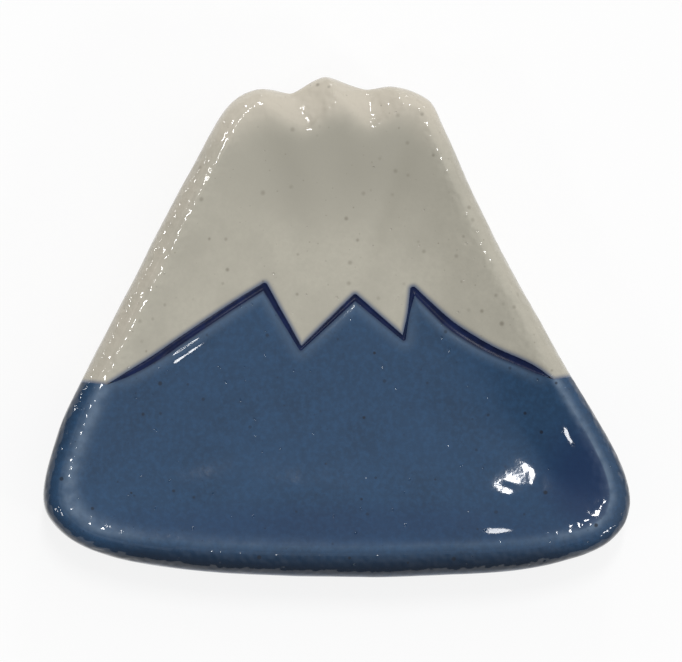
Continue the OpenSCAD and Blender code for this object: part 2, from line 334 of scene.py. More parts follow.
class RestSizes(bpy.types.PropertyGroup):
    """Sizes of the rest and its glaze"""

    width: size_prop(
        "Width", "Width across the wide front", (CAD_HIGH.x - CAD_LOW.x) / outline_reach(0))
    depth: size_prop(
        "Depth", "Depth from the front to the crater's middle lobe",
        (CAD_HIGH.y - CAD_LOW.y) / outline_reach(1))
    height: size_prop("Height", "Height of the rim above the table", CAD_HIGH.z)
    widest_z: size_prop("Widest height", "Height of the line where the wall is widest", 6.2 * MM)
    foot_inset: size_prop(
        "Foot inset", "How far the foot stands in from the widest line", 1.8 * MM)
    wall_flare: size_prop(
        "Wall flare", "How far the crest stands in from the widest line", 2.2 * MM)
    hollow_drop: size_prop("Hollow drop", "Fall from the crest to the edge of the floor", 1.9 * MM)
    slope_w: size_prop(
        "Slope width", "Width of the slope between the crest and the floor", 10 * MM)
    crater_reach: size_prop(
        "Crater reach", "How much longer the slope is below the crater", 4 * MM)
    corner_fill_w: size_prop(
        "Corner fill width", "Width of the soft ramps in the front corners", 8 * MM)
    corner_fill: FloatProperty(
        name="Corner fill", description="Share of the hollow's depth that the front corners lose",
        default=0.16)
    valley_open: size_prop(
        "Valley opening", "How far the sides of the corner valleys are lowered", 0.3 * MM)
    floor_dip: size_prop(
        "Floor dip", "Extra fall from the edge of the floor to its middle", 1.0 * MM)
    crest_r: size_prop("Crest radius", "Radius of the soft crest of the rim", 1.2 * MM)
    crater_round: size_prop(
        "Crater round", "How much rounder the crest of the crater is", 1.2 * MM)
    notch_drop: size_prop(
        "Notch drop", "How far the flutes lower the crest of the crater", 0.8 * MM)
    wave_fade: size_prop(
        "Wave fade", "How far from the crest the crater's waves fade out", 1.4 * MM)
    glaze_t: size_prop("Glaze thickness", "Thickness of the glaze coats", 0.35 * MM)
    glaze_edge_z: size_prop("Glaze edge", "Height of the glaze edge above the table", 0.9 * MM)
    line_w: size_prop("Line width", "Width of the incised line", 0.62 * MM)
    line_sink: size_prop("Line sink", "How far the pooled glaze lies below the coats", 0.26 * MM)
    lip_drop: size_prop("Lip drop", "How far each coat falls to the line", 0.05 * MM)
    lip_w: size_prop("Lip width", "Reach of each coat's fall to the line", 0.6 * MM)
    bead_r: size_prop("Bead radius", "Radius of the rolled lower edge of the glaze", 0.3 * MM)
    swell: size_prop("Swell", "Height of the slow unevenness of the pressed surface", 0.02 * MM)
    rim_beads: size_prop(
        "Rim beads", "Height of the small bumps along the crest of the rim", 0.008 * MM)


class RestColours(bpy.types.PropertyGroup):
    """Colours of the clay and the glazes, with the painted light and shade laid on them"""

    snow: colour_prop("Snow glaze", "Off-white glaze", (0.465, 0.443, 0.37))
    # Thinner glaze over the rim, also used as painted light on the left wall and the crater's
    # crest
    snow_thin: colour_prop(
        "Thin and lit snow glaze", "White glaze thinned over the rim, with painted light", (0.5, 0.46, 0.385))
    haze: colour_prop(
        "Haze", "Blue that has run into the white glaze along the line", (0.045, 0.08, 0.165))
    blue: colour_prop("Blue glaze", "Slate blue glaze", (0.0145, 0.052, 0.118))
    # Thinner glaze over the rim and the line's shoulder, also used as painted light there
    blue_thin: colour_prop(
        "Thin and lit blue glaze", "Blue glaze thinned over the rim, with painted light", (0.15, 0.215, 0.305))
    # Painted shade in patches of the hollow
    blue_pooled: colour_prop(
        "Shaded blue in the hollow", "Blue glaze darkened with painted shade in the hollow", (0.004, 0.024, 0.088))
    # Painted shade on the outer wall, and darker painted shade where it turns under
    blue_deep: colour_prop("Shaded blue wall", "Blue glaze with painted shade on the wall", (0.005, 0.02, 0.048))
    blue_under: colour_prop(
        "Shaded lower blue wall", "Blue glaze with painted shade where the wall turns under", (0.002, 0.005, 0.012))
    line: colour_prop(
        "Line glaze", "Dark blue glaze pooled in the incised line", (0.004, 0.009, 0.038))
    line_thin: colour_prop(
        "Thin line glaze", "Pooled glaze where the line narrows", (0.02, 0.05, 0.115))
    clay: colour_prop("Fired clay", "Bare fired clay of the foot", (0.42, 0.31, 0.21))
    sand: colour_prop("Sand", "Pale grains in the clay", (0.6, 0.5, 0.38))
    speck: colour_prop(
        "Iron speck", "Iron specks in the white glaze and the clay", (0.12, 0.1, 0.07))
    blue_speck: colour_prop("Dark speck", "Specks in the blue glaze", (0.004, 0.009, 0.02))
    blue_dust: colour_prop(
        "Dark dust", "The finest specks in the blue glaze", (0.004, 0.012, 0.03))


class StageLooks(bpy.types.PropertyGroup):
    """Floor, light and view"""

    floor: colour_prop("Floor", "Colour of the plain floor", (0.95, 0.95, 0.95))
    floor_glow: FloatProperty(
        name="Floor glow", description="Share of plain white that the floor shows", default=0.82)
    air: FloatProperty(
        name="Air", description="Level of the soft light on the room's dim side", default=0.3)
    sky: FloatProperty(
        name="Sky", description="How much brighter the room's light side is", default=0.42)
    lens: FloatProperty(
        name="Lens", description="Focal length of the camera", unit="CAMERA", default=210.85)
    distance: size_prop("Distance", "Distance of the camera", 0.375)
    lean_left: FloatProperty(
        name="Lean left", description="Lean of the view to the left", subtype="ANGLE",
        default=math.radians(7.5))
    lean_front: FloatProperty(
        name="Lean front", description="Lean of the view to the front", subtype="ANGLE",
        default=math.radians(5.5))
    roll: FloatProperty(
        name="Roll", description="Turn of the view about its axis", subtype="ANGLE",
        default=math.radians(0.33))


def closed_curve(rows, steps):
    """A smooth closed curve through rows of numbers, with its knots spaced by their distances."""
    points = []
    total = len(rows)
    for i in range(total):
        p0, p1, p2, p3 = (rows[(i + k) % total] for k in (-1, 0, 1, 2))
        t1 = math.sqrt(np.linalg.norm(p1 - p0))
        t2 = t1 + math.sqrt(np.linalg.norm(p2 - p1))
        t3 = t2 + math.sqrt(np.linalg.norm(p3 - p2))
        for k in range(steps[i]):
            t = t1 + (t2 - t1) * k / steps[i]
            a = (p0 * (t1 - t) + p1 * t) / t1
            b = (p1 * (t2 - t) + p2 * (t - t1)) / (t2 - t1)
            c = (p2 * (t3 - t) + p3 * (t - t2)) / (t3 - t2)
            d = (a * (t2 - t) + b * t) / t2
            e = (b * (t3 - t) + c * (t - t1)) / (t3 - t1)
            points.append((d * (t2 - t) + e * (t - t1)) / (t2 - t1))
    return np.array(points)


def between(before, here, after, later, t):
    """The point at a share of the way from here to after, on a cubic through four points."""
    return 0.5 * (
        2 * here + (after - before) * t
        + (2 * before - 5 * here + 4 * after - later) * t ** 2
        + (3 * here - before - 3 * after + later) * t ** 3)


def finer(values):
    """More samples of a closed line of values, on an even cubic through its points."""
    near = [np.roll(values, -k, axis=0) for k in (-1, 0, 1, 2)]
    parts = [between(*near, k / FINE_STEPS) for k in range(FINE_STEPS)]
    return np.stack(parts, axis=1).reshape(len(values) * FINE_STEPS, -1)


def part_way(values, start, end):
    """Nothing at the start, one at the end, and even steps between them."""
    return np.clip((values - start) / (end - start), 0, 1)


def eased(part):
    """Rounds off both ends of a change from nothing to one."""
    return part * part * (3 - 2 * part)


def left_normals(line):
    """Unit vectors square to a closed plan line, to its left."""
    along = np.roll(line, -1, axis=0) - np.roll(line, 1, axis=0)
    left = np.stack([-along[:, 1], along[:, 0]], axis=1)
    return left / np.linalg.norm(left, axis=1)[:, None]


def evened(values, reach):
    """A closed line of values with its quick changes averaged out."""
    shifts = range(-reach, reach + 1)
    total = sum(np.roll(values, k, axis=0) * (reach + 1 - abs(k)) for k in shifts)
    return total / (reach + 1) ** 2


def rim_lines(s):
    """The widest line, the crest and what the hollow hangs from, sampled finely round the rest."""
    shares = np.array(OUTLINE_SHARES)
    widest_rows = shares[:, :2] * (s.width, s.depth)
    crest_rows = np.column_stack([
        widest_rows + s.wall_flare * shares[:, 2:4], s.height - s.notch_drop * shares[:, 4]])
    gaps = np.linalg.norm(np.roll(widest_rows, -1, axis=0) - widest_rows, axis=1)
    steps = [max(LEAST_FACETS, round(gap / (s.width * FACET_SHARE))) for gap in gaps]
    widest = closed_curve(widest_rows, steps)
    crest = closed_curve(crest_rows, steps)
    crest[:, 2] = np.minimum(crest[:, 2], s.height)
    rim = SimpleNamespace(
        widest=finer(widest), crest=finer(crest),
        smooth=finer(evened(crest[:, :2], SMOOTH_REACH)),
        centre=np.array(CENTRE_SHARES) * (s.width, s.depth))
    rim.crest[:, 2] = np.minimum(rim.crest[:, 2], s.height)
    rim.outward = left_normals(rim.widest)
    rim.rays = rim.centre - rim.smooth
    rim.ray_lengths = np.linalg.norm(rim.rays, axis=1)
    rim.squareness = -np.sum(left_normals(rim.smooth) * rim.rays, axis=1) / rim.ray_lengths
    up = eased(part_way(rim.smooth[:, 1] / s.depth, *CRATER_SLOPE))
    rim.slope_w = s.slope_w + s.crater_reach * up
    rim.crest_r = s.crest_r + s.crater_round * up
    rim.squareness += (evened(rim.squareness, CRATER_EVENING) - rim.squareness) * up
    # The direction of each ray seen from the centre, falling steadily as the outline turns
    turns = np.unwrap(np.arctan2(-rim.rays[:, 1], -rim.rays[:, 0]))
    rim.start_turn = turns[0]
    closed = np.append(turns, turns[0] - math.tau)
    rim.turns = closed[::-1]
    rim.steps = np.arange(len(closed))[::-1]
    return rim


def round_the_rim(rim, values, step):
    """Values along the rim at fractional steps."""
    below = np.floor(step).astype(int)
    part = step - below
    total = len(rim.crest)
    first, second = values[below % total], values[(below + 1) % total]
    if values.ndim == 2:
        part = part[:, None]
    return first + (second - first) * part


def softened(d, radius):
    """Distances that start with a rounding of this radius."""
    return np.sqrt(d * d + radius * radius) - radius


def hollow_fall(s, slope_w, crest_r, plan, d, travelled):
    """How far the hollow lies below the rim at plan points, before the flutes lower it."""
    left = 1 - softened(np.minimum(d, slope_w), crest_r) / softened(slope_w, crest_r)
    slope = s.hollow_drop * (1 - left ** SLOPE_POWER)
    fall = slope + s.floor_dip * (1 - (1 - travelled) ** 2)
    for start, way in CORNER_FILLS:
        past = (plan - np.array(start) * (s.width, s.depth)) @ np.array(way)
        fall = fall * (1 - s.corner_fill * eased(part_way(past, 0, s.corner_fill_w)))
    inner = np.clip(d / VALLEY_START, 0, 1) ** 2
    from_middle = plan - np.array(VALLEY_MIDDLE) * (s.width, s.depth)
    along = from_middle @ np.array(VALLEY_WAY) / VALLEY_ALONG
    across = (from_middle @ np.array((-VALLEY_WAY[1], VALLEY_WAY[0])) / VALLEY_ACROSS) ** 2
    return fall + s.valley_open * inner * across * np.exp(1 - across - along ** 2)


def hollow_ring(s, rim, d):
    """The ring of the hollow that lies this distance in from the crest."""
    travelled = d / (rim.ray_lengths * rim.squareness)
    wave = math.exp(-d / s.wave_fade)
    plan = rim.smooth + (rim.crest[:, :2] - rim.smooth) * wave + rim.rays * travelled[:, None]
    drop = (s.height - rim.crest[:, 2]) * wave
    fall = hollow_fall(s, rim.slope_w, rim.crest_r, plan, d, travelled)
    return np.column_stack([plan, s.height - drop - fall])


def hollow_places(s, rim, plan):
    """Heights of the hollow over plan points, and their distances from the crest."""
    offset = np.zeros_like(plan)
    for _ in range(PLACE_ROUNDS):
        spoke = plan - offset - rim.centre
        turn = np.arctan2(spoke[:, 1], spoke[:, 0])
        turn = rim.start_turn - np.mod(rim.start_turn - turn, math.tau)
        step = np.interp(turn, rim.turns, rim.steps)
        length = round_the_rim(rim, rim.ray_lengths, step)
        travelled = 1 - np.linalg.norm(spoke, axis=1) / length
        d = travelled * length * round_the_rim(rim, rim.squareness, step)
        wave = np.exp(-np.maximum(d, 0) / s.wave_fade)
        offset = round_the_rim(rim, rim.crest[:, :2] - rim.smooth, step) * wave[:, None]
    drop = round_the_rim(rim, s.height - rim.crest[:, 2], step) * wave
    slope_w = round_the_rim(rim, rim.slope_w, step)
    crest_r = round_the_rim(rim, rim.crest_r, step)
    fall = hollow_fall(s, slope_w, crest_r, plan, np.maximum(d, 0), travelled)
    return s.height - drop - fall, d


def lower_ring(s, rim, turn):
    """A ring of the wall from the foot, at no turn, to the widest line, at a quarter turn."""
    inset = s.foot_inset * (1 - math.sin(turn))
    height = np.full(len(rim.widest), s.widest_z * (1 - math.cos(turn)))
    return np.column_stack([rim.widest - rim.outward * inset, height])


def upper_ring(s, rim, turn):
    """A ring of the wall from the widest line, at a quarter turn, to the crest, at no turn."""
    part = math.sin(turn)
    plan = rim.crest[:, :2] * (1 - part) + rim.widest * part
    return np.column_stack([plan, s.widest_z + (rim.crest[:, 2] - s.widest_z) * math.cos(turn)])


def even_turns(start, end, length):
    """Turns from start to end for rings about one wall step apart."""
    total = max(2, round(length / WALL_STEP))
    return [start + (end - start) * k / total for k in range(total + 1)]


def edge_turn(s):
    return math.acos(1 - s.glaze_edge_z / s.widest_z)


def wall_rings(s, rim):
    """Rings of the glazed wall, from the glaze's lower edge to the crest."""
    quarter = math.pi / 2
    lower = even_turns(edge_turn(s), quarter, s.widest_z - s.glaze_edge_z)
    upper = even_turns(quarter, 0, (s.height - s.widest_z + s.wall_flare) * UPPER_ARC)
    rings = [lower_ring(s, rim, turn) for turn in lower]
    return rings + [upper_ring(s, rim, turn) for turn in upper[1:]]


def ring_triangles(first, second, count):
    """Two triangles for each pair of samples of two rings, which start at these indices."""
    a = np.arange(count)
    b = (a + 1) % count
    lower = np.column_stack([first + a, first + b, second + a])
    upper = np.column_stack([first + b, second + b, second + a])
    return np.vstack([lower, upper])[:, ::-1]


def hex_points(step, low, high):
    """Points of a triangular pattern over a plan box."""
    row_gap = step * math.sqrt(3) / 2
    rows = np.arange(low[1], high[1], row_gap)
    columns = np.arange(low[0], high[0], step)
    x, y = np.meshgrid(columns, rows)
    x[1::2] += step / 2
    return np.column_stack([x.ravel(), y.ravel()])


def open_curve(rows):
    """A smooth curve through a stretch of the snow line's rows."""
    ends = np.vstack([2 * rows[0] - rows[1], rows, 2 * rows[-1] - rows[-2]])
    return [
        between(*ends[i:i + 4], k / LINE_FACETS)
        for i in range(len(ends) - 3) for k in range(LINE_FACETS)]


def snow_path(s):
    """The join of the two coats from far left to far right: plan points and width shares."""
    scale = (s.width, s.depth, 1)
    rows = np.array(SNOW_LINE_SHARES) * scale
    stops = [0, *SNOW_LINE_CORNERS, len(rows) - 1]
    points = []
    for first, last in zip(stops, stops[1:]):
        points += open_curve(rows[first:last + 1])
    points.append(rows[-1])
    left = np.array([*LEFT_JOIN_SHARES, 0]) * scale
    right = np.array([*RIGHT_JOIN_SHARES, 0]) * scale
    far_left = left - (s.width, 0, 0)
    far_right = right + (s.width, 0, 0)
    return np.array([far_left, left, *points, right, far_right])


def inside(polygon, points):
    """Which plan points lie inside a polygon."""
    found = np.zeros(len(points), bool)
    for a, b in zip(polygon, np.roll(polygon, -1, axis=0)):
        crosses = (a[1] > points[:, 1]) != (b[1] > points[:, 1])
        if a[1] != b[1]:
            at_x = a[0] + (b[0] - a[0]) * (points[:, 1] - a[1]) / (b[1] - a[1])
            found ^= crosses & (points[:, 0] < at_x)
    return found


def line_fields(s, path, points):
    """Signed distances of plan points to the join, positive on the snow, and its width share."""
    nearest = np.full(len(points), np.inf)
    share = np.zeros(len(points))
    for a, b in zip(path[:-1], path[1:]):
        along = b[:2] - a[:2]
        part = np.clip((points - a[:2]) @ along / (along @ along), 0, 1)
        distance = np.linalg.norm(points - a[:2] - part[:, None] * along, axis=1)
        closer = distance < nearest
        nearest[closer] = distance[closer]
        share[closer] = (a[2] + (b[2] - a[2]) * part)[closer]
    above = np.array([[2 * s.width, s.depth], [-2 * s.width, s.depth]])
    snow = inside(np.vstack([path[:, :2], above]), points)
    return np.where(snow, nearest, -nearest), share


def vertex_normals(points, triangles):
    a, b, c = (points[triangles[:, k]] for k in range(3))
    faces = np.cross(b - a, c - a)
    normals = np.zeros_like(points)
    for k in range(3):
        np.add.at(normals, triangles[:, k], faces)
    return normals / np.linalg.norm(normals, axis=1)[:, None]


def random_waves(points, seed, shortest, longest):
    """A smooth random field of height about one, made of plane waves of these lengths."""
    chance = np.random.default_rng(seed)
    field = np.zeros(len(points))
    for _ in range(WAVE_COUNT):
        direction = chance.normal(size=3)
        direction /= np.linalg.norm(direction)
        wave_length = chance.uniform(shortest, longest)
        phase = chance.uniform(0, math.tau)
        field += np.sin(points @ direction * math.tau / wave_length + phase)
    return field * math.sqrt(2 / WAVE_COUNT)


def hollow_sheet(s, rim, path):
    """Plan points of the hollow, their heights and distances from the crest, and triangles."""
    rings = [hollow_ring(s, rim, d) for d in np.arange(0, CREST_BAND, CREST_STEP)]
    low, high = rim.crest[:, :2].min(0), rim.crest[:, :2].max(0)
    inner_edge = rings[-1][:, :2]
    grids = []
    bands = ((LINE_STEP, 0, LINE_BAND), (NEAR_STEP, LINE_BAND, NEAR_BAND),
             (FLOOR_STEP, NEAR_BAND, math.inf))
    for step, near, far in bands:
        grid = hex_points(step, low, high)
        distance = np.abs(line_fields(s, path, grid)[0])
        grid = grid[(distance >= near) & (distance < far)]
        grids.append(grid[inside(inner_edge, grid)])
    grid = np.vstack(grids)
    heights, depths = hollow_places(s, rim, grid)
    clear = depths > CREST_BAND + CREST_STEP / 2
    ringed = np.vstack(rings)
    ring_depths = np.repeat(np.arange(len(rings)) * CREST_STEP, len(rim.crest))
    points = np.vstack([ringed, np.column_stack([grid, heights])[clear]])
    depths = np.concatenate([ring_depths, depths[clear]])
    count = len(rim.crest)
    edges = [(i, (i + 1) % count) for i in range(count)]
    made = delaunay_2d_cdt([Vector(p[:2]) for p in points], edges, [], 1, SNAP / 100)
    first = [origins[0] for origins in made[3]]
    triangles = np.array([[first[i] for i in face] for face in made[2]])
    return points, depths, triangles


@lru_cache(maxsize=1)
def kept_surface(values):
    """The whole outer surface of the glaze as one open sheet, in one table, with its triangles."""
    s = SimpleNamespace(**dict(values))
    rim = rim_lines(s)
    path = snow_path(s)
    count = len(rim.crest)
    walls = wall_rings(s, rim)
    hollow, depths, inner_triangles = hollow_sheet(s, rim, path)
    below = (len(walls) - 1) * count
    points = np.vstack([*walls[:-1], hollow])
    triangles = np.vstack(
        [ring_triangles(k * count, (k + 1) * count, count) for k in range(len(walls) - 1)]
        + [inner_triangles + below])
    a, b, c = (points[triangles[:, k], :2] for k in range(3))
    area = np.cross(b - a, c - a)
    flip = np.arange(len(triangles)) >= len(triangles) - len(inner_triangles)
    flip &= area < 0
    triangles[flip] = triangles[flip][:, ::-1]
    normals = vertex_normals(points, triangles)
    side, share = line_fields(s, path, points[:, :2])
    ring_gaps = [np.linalg.norm(b - a, axis=1) for a, b in zip(walls, walls[1:])]
    climbed = np.cumsum([np.zeros(count), *ring_gaps], axis=0)
    rim_side = np.concatenate([(climbed[:-1] - climbed[-1]).ravel(), depths])
    edge_up = np.concatenate([climbed[:-1].ravel(), np.full(len(hollow), climbed[-1].min())])
    table = np.column_stack([points, normals, side, share, rim_side, edge_up])
    return table, triangles


def glazed_surface(s):
    """The surface for these sizes, which is made only once for all pieces."""
    return kept_surface(tuple(sorted(vars(s).items())))


def sizes_of(context):
    """The sizes of the rest as plain values."""
    group = context.scene.rest_sizes
    return SimpleNamespace(**{key: getattr(group, key) for key in RestSizes.__annotations__})


def cut_sheet(table, triangles, side):
    """The stretch of a sheet where side is positive, cut cleanly along its edge."""
    side = np.where(np.abs(side) < SNAP, 0, side)
    corner_sides = side[triangles]
    whole = (corner_sides >= 0).all(axis=1) & (corner_sides > 0).any(axis=1)
    crossed = (corner_sides > 0).any(axis=1) & (corner_sides < 0).any(axis=1)
    new_rows, new_index, pieces = [], {}, []

    def crossing(i, j):
        key = (min(i, j), max(i, j))
        if key not in new_index:
            i, j = key
            part = side[i] / (side[i] - side[j])
            new_index[key] = len(table) + len(new_rows)
            new_rows.append(table[i] + (table[j] - table[i]) * part)
        return new_index[key]

    for triangle in triangles[crossed]:
        kept = []
        for i, j in zip(triangle, np.roll(triangle, -1)):
            if side[i] >= 0:
                kept.append(i)
            if side[i] * side[j] < 0:
                kept.append(crossing(i, j))
        pieces += [(kept[0], kept[k], kept[k + 1]) for k in range(1, len(kept) - 1)]
    if new_rows:
        table = np.vstack([table, new_rows])
        triangles = np.vstack([triangles[whole], pieces])
    else:
        triangles = triangles[whole]
    used, triangles = np.unique(triangles, return_inverse=True)
    return table[used], triangles.reshape(-1, 3)


def shell_mesh(name, outer, inner, triangles):
    """A closed mesh between an outer sheet and an inner one with the same triangles."""
    total = len(outer)
    edges = np.vstack([triangles[:, [0, 1]], triangles[:, [1, 2]], triangles[:, [2, 0]]])
    keys = edges.min(axis=1) * total + edges.max(axis=1)
    _, index, uses = np.unique(keys, return_index=True, return_counts=True)
    border = edges[index[uses == 1]]
    a, b = border[:, 0], border[:, 1]
    walls = np.vstack([
        np.column_stack([b, a, a + total]), np.column_stack([b, a + total, b + total])])
    faces = np.vstack([triangles, triangles[:, ::-1] + total, walls])
    mesh = filled_mesh(name, np.vstack([outer, inner]), faces)
    border_keys = set(map(tuple, np.sort(border, axis=1)))
    border_keys |= set(map(tuple, np.sort(border + total, axis=1)))
    mark_sharp(mesh, border_keys)
    return mesh


def filled_mesh(name, points, faces):
    """A smooth-shaded mesh from arrays of points and triangles."""
    mesh = bpy.data.meshes.new(name)
    mesh.vertices.add(len(points))
    mesh.vertices.foreach_set("co", points.astype(np.float32).ravel())
    mesh.loops.add(len(faces) * 3)
    mesh.loops.foreach_set("vertex_index", faces.astype(np.int32).ravel())
    mesh.polygons.add(len(faces))
    mesh.polygons.foreach_set("loop_start", np.arange(0, len(faces) * 3, 3, dtype=np.int32))
    mesh.update(calc_edges=True)
    if mesh.validate():
        raise RuntimeError(f"the mesh of {name} had faults")
    mesh.shade_smooth()
    return mesh


def mark_sharp(mesh, keys):
    ends = np.zeros(len(mesh.edges) * 2, np.int32)
    mesh.edges.foreach_get("vertices", ends)
    ends = np.sort(ends.reshape(-1, 2), axis=1)
    sharp = np.fromiter((tuple(pair) in keys for pair in ends), bool, len(ends))
    attribute = mesh.attributes.new("sharp_edge", "BOOLEAN", "EDGE")
    attribute.data.foreach_set("value", sharp)


def keep_field(mesh, name, values):
    """Gives a shell's outer and inner points the same values, for its finish to read."""
    attribute = mesh.attributes.new(name, "FLOAT", "POINT")
    attribute.data.foreach_set("value", np.tile(values, 2).astype(np.float32))


def show_piece(name, mesh, node, material):
    """Puts a piece in the scene in place of its plain solid."""
    piece = bpy.data.objects.new(name, mesh)
    bpy.context.scene.collection.objects.link(piece)
    mesh.materials.append(material)
    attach(piece, "root")
    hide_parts(node)


def bead_depth(s, table):
    """How far the glaze draws in at its rolled lower edge."""
    climb = part_way(table[:, EDGE_UP], 0, s.bead_r)
    return s.bead_r * BEAD_SHARE * (1 - np.sqrt(1 - (1 - climb) ** 2))


def wall_share(table):
    """One near the crest and on the hollow, little on the lower walls."""
    return np.clip(1 + (table[:, RIM_SIDE] - LOW_WALL_START) / LOW_WALL_FADE, LOW_WALL_LEAST, 1)


def left_share(table):
    """Nothing on the right side, one on the left."""
    return part_way(table[:, 0], *SIDE_TURN)


def front_share(s, table):
    """One along the straight front, nothing past its corners."""
    front = part_way(-table[:, 1] / s.depth, *FRONT_DEPTH)
    return front * part_way(np.abs(table[:, 0]) / s.width, *FRONT_WIDTH)


def mark_height(s, plan):
    """The small tilts that catch the light."""
    height = np.zeros(len(plan))
    for middle, half_length, half_width, way, tilt in MARKS:
        from_middle = plan - np.array(middle) * (s.width, s.depth)
        ahead = np.array(way) / math.hypot(*way)
        along = from_middle @ ahead
        left = from_middle @ np.array((-ahead[1], ahead[0]))
        reach = np.exp(-(along / half_length) ** 4 - (left / half_width) ** 2)
        height += from_middle @ np.array(tilt) * reach
    return height


def swell_height(s, table):
    """The unevenness of a pressed and glazed surface: waves, bumps along its crest and tilts."""
    points = table[:, PLACE]
    rim_side = table[:, RIM_SIDE]
    slow = random_waves(points, *SLOW_WAVES)
    quick = random_waves(points, *QUICK_WAVES)
    beads = random_waves(points, *BEAD_WAVES)
    on_rim = np.exp(-(rim_side / BEADS_REACH) ** 2)
    on_rim += (rim_side < WALL_BEADS_START) * WALL_BEADS_SHARE * wall_share(table)
    beads *= np.minimum(on_rim, 1) * (1 - front_share(s, table))
    waves = s.swell * (slow + QUICK_SHARE * quick)
    return waves + s.rim_beads * beads + mark_height(s, points[:, :2])


def crest_light(s, table):
    """How strongly thin glaze and painted light pale the crest: most on the left, least in front.
    """
    side = table[:, RIM_SIDE]
    inner = CREST_INNER[0] + CREST_INNER[1] * left_share(table)
    outer = CREST_OUTER[0] + CREST_OUTER[1] * left_share(table)
    reach = np.where(side > 0, inner, outer)
    return np.exp(-(side / reach) ** 2) * (1 - FRONT_LOSS * front_share(s, table))


def bumpy_share(s, table):
    """How bumpy the glaze's skin is: along the crest, less in front, and on the upper wall."""
    side = table[:, RIM_SIDE]
    crest = np.exp(-(side / BUMPY_REACH) ** 2) * (1 - front_share(s, table))
    return np.maximum(crest, wall_share(table) * (side < BUMPY_START))


def painted_shade_share(s, table, pools):
    """How strongly painted shade darkens the glaze at each point."""
    share = np.zeros(len(table))
    for x, y, half_x, half_y, strength in pools:
        across = (table[:, 0] / s.width - x) / half_x
        along = (table[:, 1] / s.depth - y) / half_y
        away = across ** 2 + along ** 2
        share = np.maximum(share, strength * np.exp(-away ** SHADE_PATCH_POWER))
    return share * (table[:, RIM_SIDE] > 0)


def half_line(s, table):
    """Half of the line's width at each point."""
    return s.line_w / 2 * table[:, LINE_SHARE]


def coat_mesh(s, name, side_sign, pools):
    """The closed coat on one side of the snow line."""
    table, triangles = glazed_surface(s)
    beyond = side_sign * table[:, LINE_SIDE] - half_line(s, table)
    table, triangles = cut_sheet(table, triangles, beyond)
    away = np.maximum(np.abs(table[:, LINE_SIDE]) - half_line(s, table), 0)
    fall = s.lip_drop * table[:, LINE_SHARE] * (1 - eased(part_way(away, 0, s.lip_w)))
    settled = SETTLE * part_way(table[:, EDGE_UP], 0, s.bead_r)
    shift = swell_height(s, table) - fall - bead_depth(s, table) - settled
    normals = table[:, NORMAL]
    outer = table[:, PLACE] + normals * shift[:, None]
    inner = table[:, PLACE] - normals * s.glaze_t
    mesh = shell_mesh(name, outer, inner, triangles)
    rim_side = table[:, RIM_SIDE]
    fields = {
        "line_side": table[:, LINE_SIDE] / MM,
        "line_share": table[:, LINE_SHARE],
        "rim_side": rim_side / MM,
        # The wall's distance from the crest, shifted along the front, places the painted shade on
        # the wall
        "outer_side": (rim_side - FRONT_SHADE * front_share(s, table)) / MM,
        "crest_light": crest_light(s, table),
        "beaded": bumpy_share(s, table),
        # The pooled field holds the patches of painted shade
        "pooled": painted_shade_share(s, table, pools),
        "left_share": left_share(table),
        "crater": part_way(table[:, 1] / s.depth, *CRATER_PALE),
    }
    for field, values in fields.items():
        keep_field(mesh, field, values)
    return mesh


def pool_mesh(s, name):
    """The closed strand of dark glaze that lies in the incised line."""
    table, triangles = glazed_surface(s)
    within = half_line(s, table) - np.abs(table[:, LINE_SIDE])
    table, triangles = cut_sheet(table, triangles, within)
    half = np.maximum(half_line(s, table), SNAP)
    across = np.clip(np.abs(table[:, LINE_SIDE]) / half, 0, 1)
    sink = s.line_sink - LINE_CUP * across ** 2
    normals = table[:, NORMAL]
    outer = table[:, PLACE] + normals * (swell_height(s, table) - sink)[:, None]
    inner = table[:, PLACE] - normals * s.glaze_t
    mesh = shell_mesh(name, outer, inner, triangles)
    keep_field(mesh, "line_share", table[:, LINE_SHARE])
    return mesh


def clay_mesh(s, name):
    """The closed clay body: its bare foot, and what the coats hide."""
    rim = rim_lines(s)
    table, triangles = glazed_surface(s)
    count = len(rim.crest)
    foot_centre = rim.widest.mean(axis=0)
    outer_foot = lower_ring(s, rim, 0)[:, :2]
    flat = [np.column_stack([foot_centre + (outer_foot - foot_centre) * share,
                             np.zeros(count)]) for share in FOOT_RING_SHARES]
    turns = even_turns(0, edge_turn(s), s.glaze_edge_z * FOOT_ARC)
    curved = [lower_ring(s, rim, turn) for turn in turns]
    under = table[:, PLACE] - table[:, NORMAL] * (s.glaze_t + CLAY_GAP)
    rings = np.vstack([*flat, *curved])
    base = len(rings)
    middle = base + len(under)
    total = len(flat) + len(curved)
    faces = [ring_triangles(k * count, (k + 1) * count, count) for k in range(total)]
    step = np.arange(count)
    faces.append(np.column_stack([step, (step + 1) % count, np.full(count, middle)]))
    faces.append(triangles + base)
    points = np.vstack([rings, under, [[*foot_centre, 0]]])
    return filled_mesh(name, points, np.vstack(faces))


